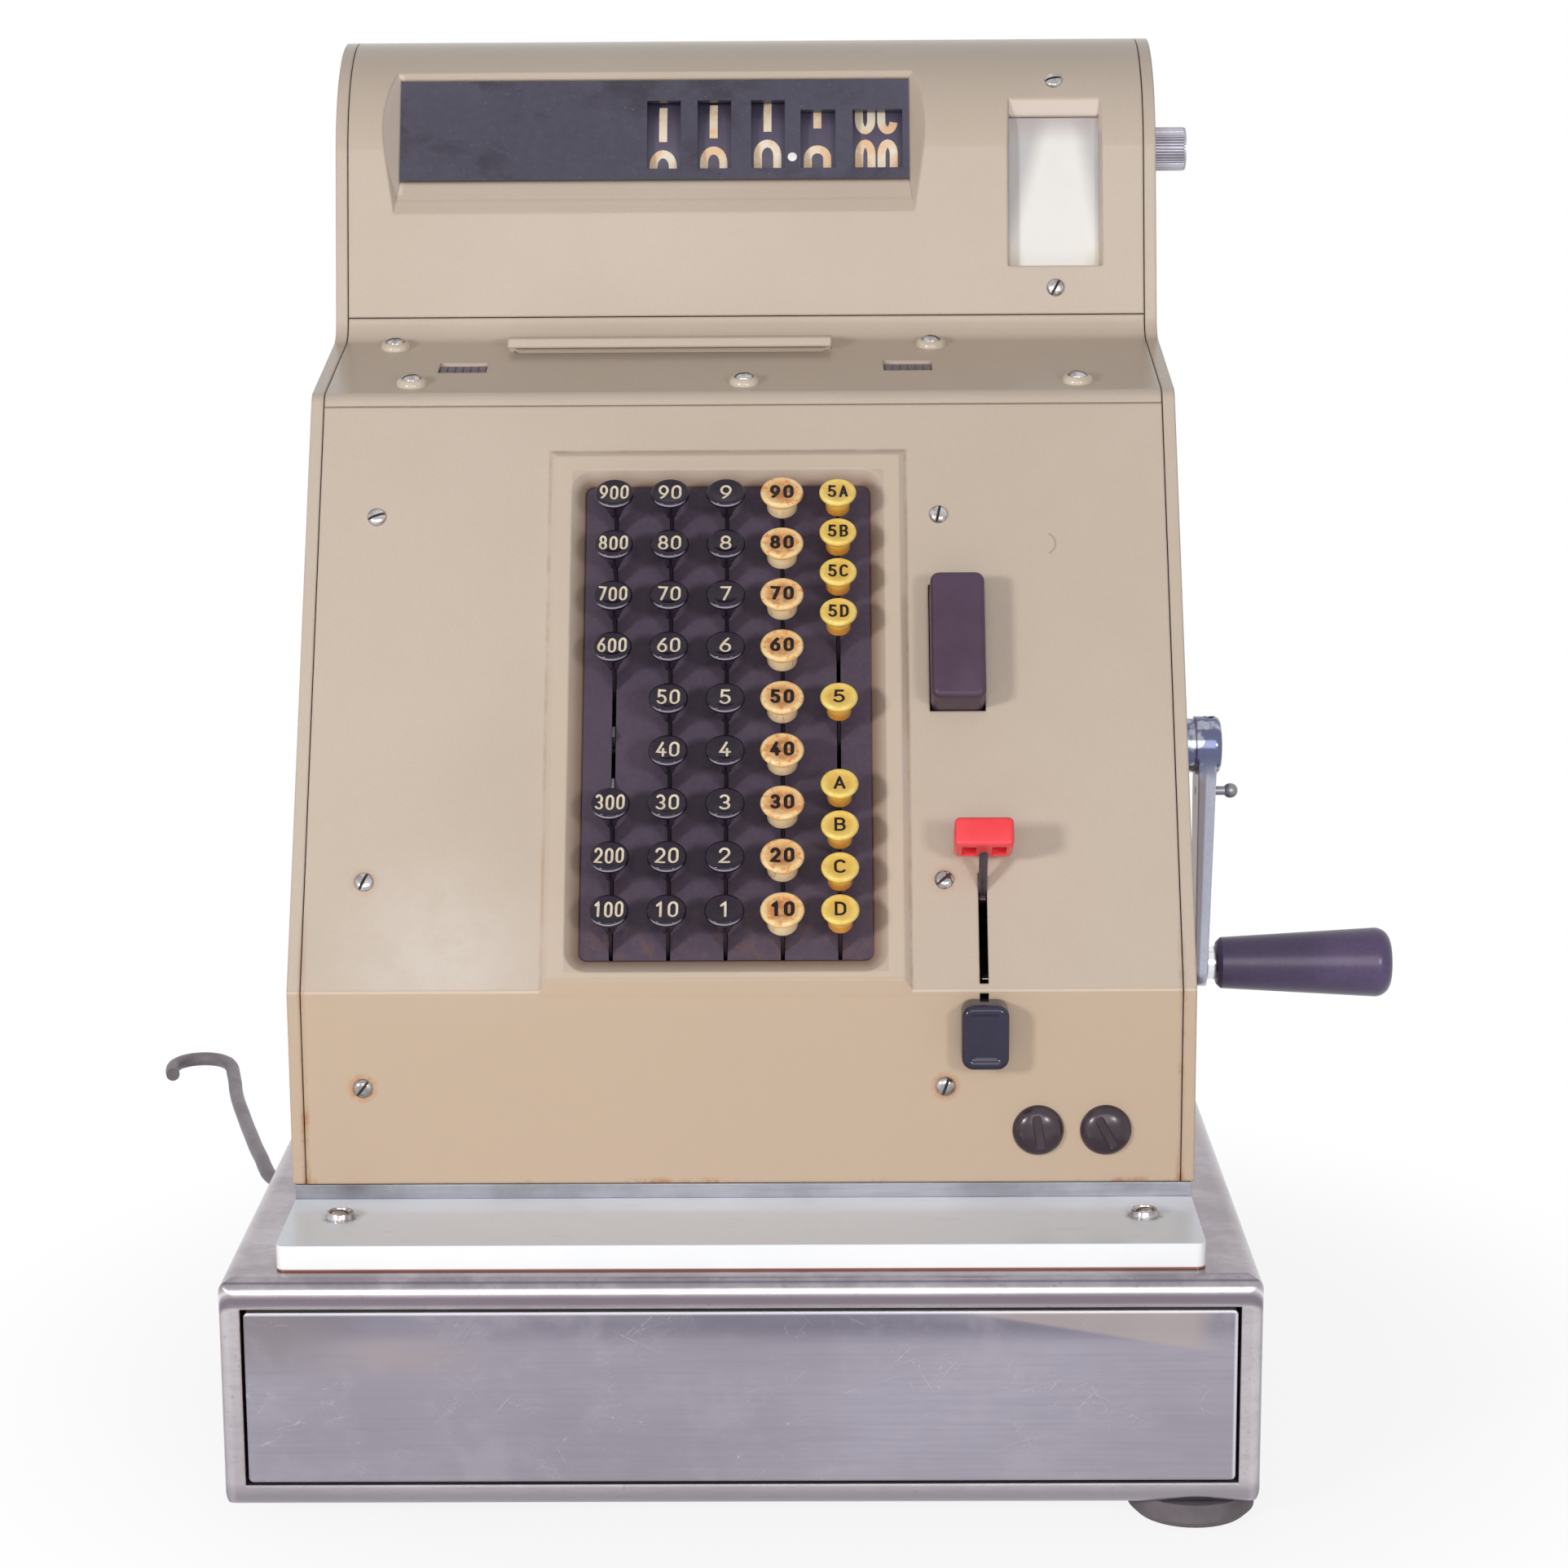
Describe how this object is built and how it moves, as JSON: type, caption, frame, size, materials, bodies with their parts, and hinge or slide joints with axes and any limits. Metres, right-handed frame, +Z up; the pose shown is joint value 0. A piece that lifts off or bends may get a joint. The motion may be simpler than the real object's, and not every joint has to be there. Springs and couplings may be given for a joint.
{
  "type": "cash register",
  "caption": "Desk cash register with a sloped keyboard, turning number drums under a domed top, a side crank and a sliding cash drawer in its base.",
  "frame": {"origin": "on the floor, in the middle of the box round the register without its cord", "axes": "+Z up, -Y towards the user at the keyboard, +X towards the crank"},
  "size_m": [0.6504, 0.7139, 0.608],
  "materials": {
    "body_paint": "aged beige enamel, satin",
    "cabinet_steel": "worn grey metallic paint",
    "foot_rubber": "matte",
    "opal_glass": "polished opal",
    "trim_aluminium": "satin",
    "key_plate_enamel": "gloss black",
    "indicator_glass": "gloss black",
    "frosted_glass": "frosted",
    "screw_steel": "aged",
    "brown_plastic": "moulded",
    "frame_iron": "rough",
    "cord_rubber": "matte grey",
    "tray_plastic": "moulded",
    "drawer_steel": "brushed along its length",
    "crank_chrome": "polished, worn",
    "shaft_steel": "turned",
    "grip_plastic": "polished",
    "maroon_plastic": "satin",
    "red_plastic": "gloss",
    "black_plastic": "gloss",
    "knob_aluminium": "knurled",
    "drum_plastic": "matte",
    "ivory_plastic": "aged ivory",
    "yellow_plastic": "aged yellow"
  },
  "bodies": {
    "register": {"base_cabinet": "cabinet_steel", "rubber_feet": "foot_rubber", "change_plate": "opal_glass", "trim_strip": "trim_aluminium", "left_side_panel": "body_paint", "right_side_panel": "body_paint", "front_panel": "body_paint", "key_plate": "key_plate_enamel", "print_ledge": "body_paint", "top_cover": "body_paint", "back_cover": "body_paint", "indicator_plate": "indicator_glass", "journal_pane": "frosted_glass", "cover_screws": "screw_steel", "panel_plugs": "brown_plastic", "mechanism_frame": "frame_iron", "cord_gland": "cord_rubber", "power_cord": "cord_rubber"},
    "drawer": {"drawer_tray": "tray_plastic", "drawer_front": "drawer_steel"},
    "crank": {"crank_arm": "crank_chrome", "main_shaft": "shaft_steel"},
    "grip": {"crank_grip": "grip_plastic"},
    "plunger": {"crank_plunger": "crank_chrome"},
    "motor_bar": {"motor_bar": "maroon_plastic"},
    "red_lever": {"red_lever": "red_plastic"},
    "black_lever": {"black_lever": "black_plastic"},
    "paper_knob": {"paper_knob": "knob_aluminium"},
    "indicator_drum_1": {"indicator_drum_1": "drum_plastic"},
    "indicator_drum_2": {"indicator_drum_2": "drum_plastic"},
    "indicator_drum_3": {"indicator_drum_3": "drum_plastic"},
    "indicator_drum_4": {"indicator_drum_4": "drum_plastic"},
    "indicator_drum_5": {"indicator_drum_5": "drum_plastic"},
    "black_keys_row_1": {"black_keys_row_1": "black_plastic"},
    "black_keys_row_2": {"black_keys_row_2": "black_plastic"},
    "black_keys_row_3": {"black_keys_row_3": "black_plastic"},
    "black_keys_row_4": {"black_keys_row_4": "black_plastic"},
    "black_keys_row_5": {"black_keys_row_5": "black_plastic"},
    "black_keys_row_6": {"black_keys_row_6": "black_plastic"},
    "black_keys_row_7": {"black_keys_row_7": "black_plastic"},
    "black_keys_row_8": {"black_keys_row_8": "black_plastic"},
    "black_keys_row_9": {"black_keys_row_9": "black_plastic"},
    "ivory_key_10": {"ivory_key_10": "ivory_plastic"},
    "ivory_key_20": {"ivory_key_20": "ivory_plastic"},
    "ivory_key_30": {"ivory_key_30": "ivory_plastic"},
    "ivory_key_40": {"ivory_key_40": "ivory_plastic"},
    "ivory_key_50": {"ivory_key_50": "ivory_plastic"},
    "ivory_key_60": {"ivory_key_60": "ivory_plastic"},
    "ivory_key_70": {"ivory_key_70": "ivory_plastic"},
    "ivory_key_80": {"ivory_key_80": "ivory_plastic"},
    "ivory_key_90": {"ivory_key_90": "ivory_plastic"},
    "yellow_key_d": {"yellow_key_d": "yellow_plastic"},
    "yellow_key_c": {"yellow_key_c": "yellow_plastic"},
    "yellow_key_b": {"yellow_key_b": "yellow_plastic"},
    "yellow_key_a": {"yellow_key_a": "yellow_plastic"},
    "yellow_key_5d": {"yellow_key_5d": "yellow_plastic"},
    "yellow_key_5c": {"yellow_key_5c": "yellow_plastic"},
    "yellow_key_5b": {"yellow_key_5b": "yellow_plastic"},
    "yellow_key_5a": {"yellow_key_5a": "yellow_plastic"},
    "yellow_key_5": {"yellow_key_5": "yellow_plastic"}
  },
  "joints": [
    {"name": "drawer_slide", "type": "slide", "parent": "register", "child": "drawer", "axis": [0, -1, 0], "range_m": [0, 0.3]},
    {"name": "crank_turn", "type": "hinge", "parent": "register", "child": "crank", "pos_m": [0.16275, -0.045, 0.299], "axis": [1, 0, 0], "continuous": true},
    {"name": "grip_turn", "type": "hinge", "parent": "crank", "child": "grip", "pos_m": [0.21275, -0.045, 0.1995], "axis": [1, 0, 0], "continuous": true},
    {"name": "plunger_pull", "type": "slide", "parent": "crank", "child": "plunger", "axis": [1, 0, 0], "range_m": [0, 0.005], "stiffness_N_per_m": 300, "springref_m": -0.003},
    {"name": "motor_bar_press", "type": "slide", "parent": "register", "child": "motor_bar", "axis": [0, 0.8729, -0.4879], "range_m": [0, 0.006], "stiffness_N_per_m": 400, "springref_m": -0.004},
    {"name": "red_lever_swing", "type": "hinge", "parent": "register", "child": "red_lever", "pos_m": [0.06575, -0.04077, 0.18547], "axis": [1, 0, 0], "range_deg": [0, 20]},
    {"name": "black_lever_press", "type": "slide", "parent": "register", "child": "black_lever", "axis": [0, 0, -1], "range_m": [0, 0.012], "stiffness_N_per_m": 100, "springref_m": -0.01},
    {"name": "paper_knob_turn", "type": "hinge", "parent": "register", "child": "paper_knob", "pos_m": [0.16275, 0.15, 0.5555], "axis": [1, 0, 0], "continuous": true},
    {"name": "indicator_drum_1_turn", "type": "hinge", "parent": "register", "child": "indicator_drum_1", "pos_m": [-0.07595, 0.15449, 0.54675], "axis": [1, 0, 0], "continuous": true},
    {"name": "indicator_drum_2_turn", "type": "hinge", "parent": "register", "child": "indicator_drum_2", "pos_m": [-0.05205, 0.15449, 0.54675], "axis": [1, 0, 0], "continuous": true},
    {"name": "indicator_drum_3_turn", "type": "hinge", "parent": "register", "child": "indicator_drum_3", "pos_m": [-0.02665, 0.15449, 0.54675], "axis": [1, 0, 0], "continuous": true},
    {"name": "indicator_drum_4_turn", "type": "hinge", "parent": "register", "child": "indicator_drum_4", "pos_m": [-0.00295, 0.15449, 0.54675], "axis": [1, 0, 0], "continuous": true},
    {"name": "indicator_drum_5_turn", "type": "hinge", "parent": "register", "child": "indicator_drum_5", "pos_m": [0.02525, 0.15449, 0.54675], "axis": [1, 0, 0], "continuous": true},
    {"name": "black_keys_row_1_press", "type": "slide", "parent": "register", "child": "black_keys_row_1", "axis": [0, 0.592, -0.8059], "range_m": [0, 0.007], "stiffness_N_per_m": 150, "springref_m": -0.005},
    {"name": "black_keys_row_2_press", "type": "slide", "parent": "register", "child": "black_keys_row_2", "axis": [0, 0.592, -0.8059], "range_m": [0, 0.007], "stiffness_N_per_m": 150, "springref_m": -0.005},
    {"name": "black_keys_row_3_press", "type": "slide", "parent": "register", "child": "black_keys_row_3", "axis": [0, 0.592, -0.8059], "range_m": [0, 0.007], "stiffness_N_per_m": 150, "springref_m": -0.005},
    {"name": "black_keys_row_4_press", "type": "slide", "parent": "register", "child": "black_keys_row_4", "axis": [0, 0.592, -0.8059], "range_m": [0, 0.007], "stiffness_N_per_m": 150, "springref_m": -0.005},
    {"name": "black_keys_row_5_press", "type": "slide", "parent": "register", "child": "black_keys_row_5", "axis": [0, 0.592, -0.8059], "range_m": [0, 0.007], "stiffness_N_per_m": 150, "springref_m": -0.005},
    {"name": "black_keys_row_6_press", "type": "slide", "parent": "register", "child": "black_keys_row_6", "axis": [0, 0.592, -0.8059], "range_m": [0, 0.007], "stiffness_N_per_m": 150, "springref_m": -0.005},
    {"name": "black_keys_row_7_press", "type": "slide", "parent": "register", "child": "black_keys_row_7", "axis": [0, 0.592, -0.8059], "range_m": [0, 0.007], "stiffness_N_per_m": 150, "springref_m": -0.005},
    {"name": "black_keys_row_8_press", "type": "slide", "parent": "register", "child": "black_keys_row_8", "axis": [0, 0.592, -0.8059], "range_m": [0, 0.007], "stiffness_N_per_m": 150, "springref_m": -0.005},
    {"name": "black_keys_row_9_press", "type": "slide", "parent": "register", "child": "black_keys_row_9", "axis": [0, 0.592, -0.8059], "range_m": [0, 0.007], "stiffness_N_per_m": 150, "springref_m": -0.005},
    {"name": "ivory_key_10_press", "type": "slide", "parent": "register", "child": "ivory_key_10", "axis": [0, 0.592, -0.8059], "range_m": [0, 0.007], "stiffness_N_per_m": 150, "springref_m": -0.005},
    {"name": "ivory_key_20_press", "type": "slide", "parent": "register", "child": "ivory_key_20", "axis": [0, 0.592, -0.8059], "range_m": [0, 0.007], "stiffness_N_per_m": 150, "springref_m": -0.005},
    {"name": "ivory_key_30_press", "type": "slide", "parent": "register", "child": "ivory_key_30", "axis": [0, 0.592, -0.8059], "range_m": [0, 0.007], "stiffness_N_per_m": 150, "springref_m": -0.005},
    {"name": "ivory_key_40_press", "type": "slide", "parent": "register", "child": "ivory_key_40", "axis": [0, 0.592, -0.8059], "range_m": [0, 0.007], "stiffness_N_per_m": 150, "springref_m": -0.005},
    {"name": "ivory_key_50_press", "type": "slide", "parent": "register", "child": "ivory_key_50", "axis": [0, 0.592, -0.8059], "range_m": [0, 0.007], "stiffness_N_per_m": 150, "springref_m": -0.005},
    {"name": "ivory_key_60_press", "type": "slide", "parent": "register", "child": "ivory_key_60", "axis": [0, 0.592, -0.8059], "range_m": [0, 0.007], "stiffness_N_per_m": 150, "springref_m": -0.005},
    {"name": "ivory_key_70_press", "type": "slide", "parent": "register", "child": "ivory_key_70", "axis": [0, 0.592, -0.8059], "range_m": [0, 0.007], "stiffness_N_per_m": 150, "springref_m": -0.005},
    {"name": "ivory_key_80_press", "type": "slide", "parent": "register", "child": "ivory_key_80", "axis": [0, 0.592, -0.8059], "range_m": [0, 0.007], "stiffness_N_per_m": 150, "springref_m": -0.005},
    {"name": "ivory_key_90_press", "type": "slide", "parent": "register", "child": "ivory_key_90", "axis": [0, 0.592, -0.8059], "range_m": [0, 0.007], "stiffness_N_per_m": 150, "springref_m": -0.005},
    {"name": "yellow_key_d_press", "type": "slide", "parent": "register", "child": "yellow_key_d", "axis": [0, 0.592, -0.8059], "range_m": [0, 0.007], "stiffness_N_per_m": 150, "springref_m": -0.005},
    {"name": "yellow_key_c_press", "type": "slide", "parent": "register", "child": "yellow_key_c", "axis": [0, 0.592, -0.8059], "range_m": [0, 0.007], "stiffness_N_per_m": 150, "springref_m": -0.005},
    {"name": "yellow_key_b_press", "type": "slide", "parent": "register", "child": "yellow_key_b", "axis": [0, 0.592, -0.8059], "range_m": [0, 0.007], "stiffness_N_per_m": 150, "springref_m": -0.005},
    {"name": "yellow_key_a_press", "type": "slide", "parent": "register", "child": "yellow_key_a", "axis": [0, 0.592, -0.8059], "range_m": [0, 0.007], "stiffness_N_per_m": 150, "springref_m": -0.005},
    {"name": "yellow_key_5d_press", "type": "slide", "parent": "register", "child": "yellow_key_5d", "axis": [0, 0.592, -0.8059], "range_m": [0, 0.007], "stiffness_N_per_m": 150, "springref_m": -0.005},
    {"name": "yellow_key_5c_press", "type": "slide", "parent": "register", "child": "yellow_key_5c", "axis": [0, 0.592, -0.8059], "range_m": [0, 0.007], "stiffness_N_per_m": 150, "springref_m": -0.005},
    {"name": "yellow_key_5b_press", "type": "slide", "parent": "register", "child": "yellow_key_5b", "axis": [0, 0.592, -0.8059], "range_m": [0, 0.007], "stiffness_N_per_m": 150, "springref_m": -0.005},
    {"name": "yellow_key_5a_press", "type": "slide", "parent": "register", "child": "yellow_key_5a", "axis": [0, 0.592, -0.8059], "range_m": [0, 0.007], "stiffness_N_per_m": 150, "springref_m": -0.005},
    {"name": "yellow_key_5_press", "type": "slide", "parent": "register", "child": "yellow_key_5", "axis": [0, 0.592, -0.8059], "range_m": [0, 0.007], "stiffness_N_per_m": 150, "springref_m": -0.005}
  ]
}
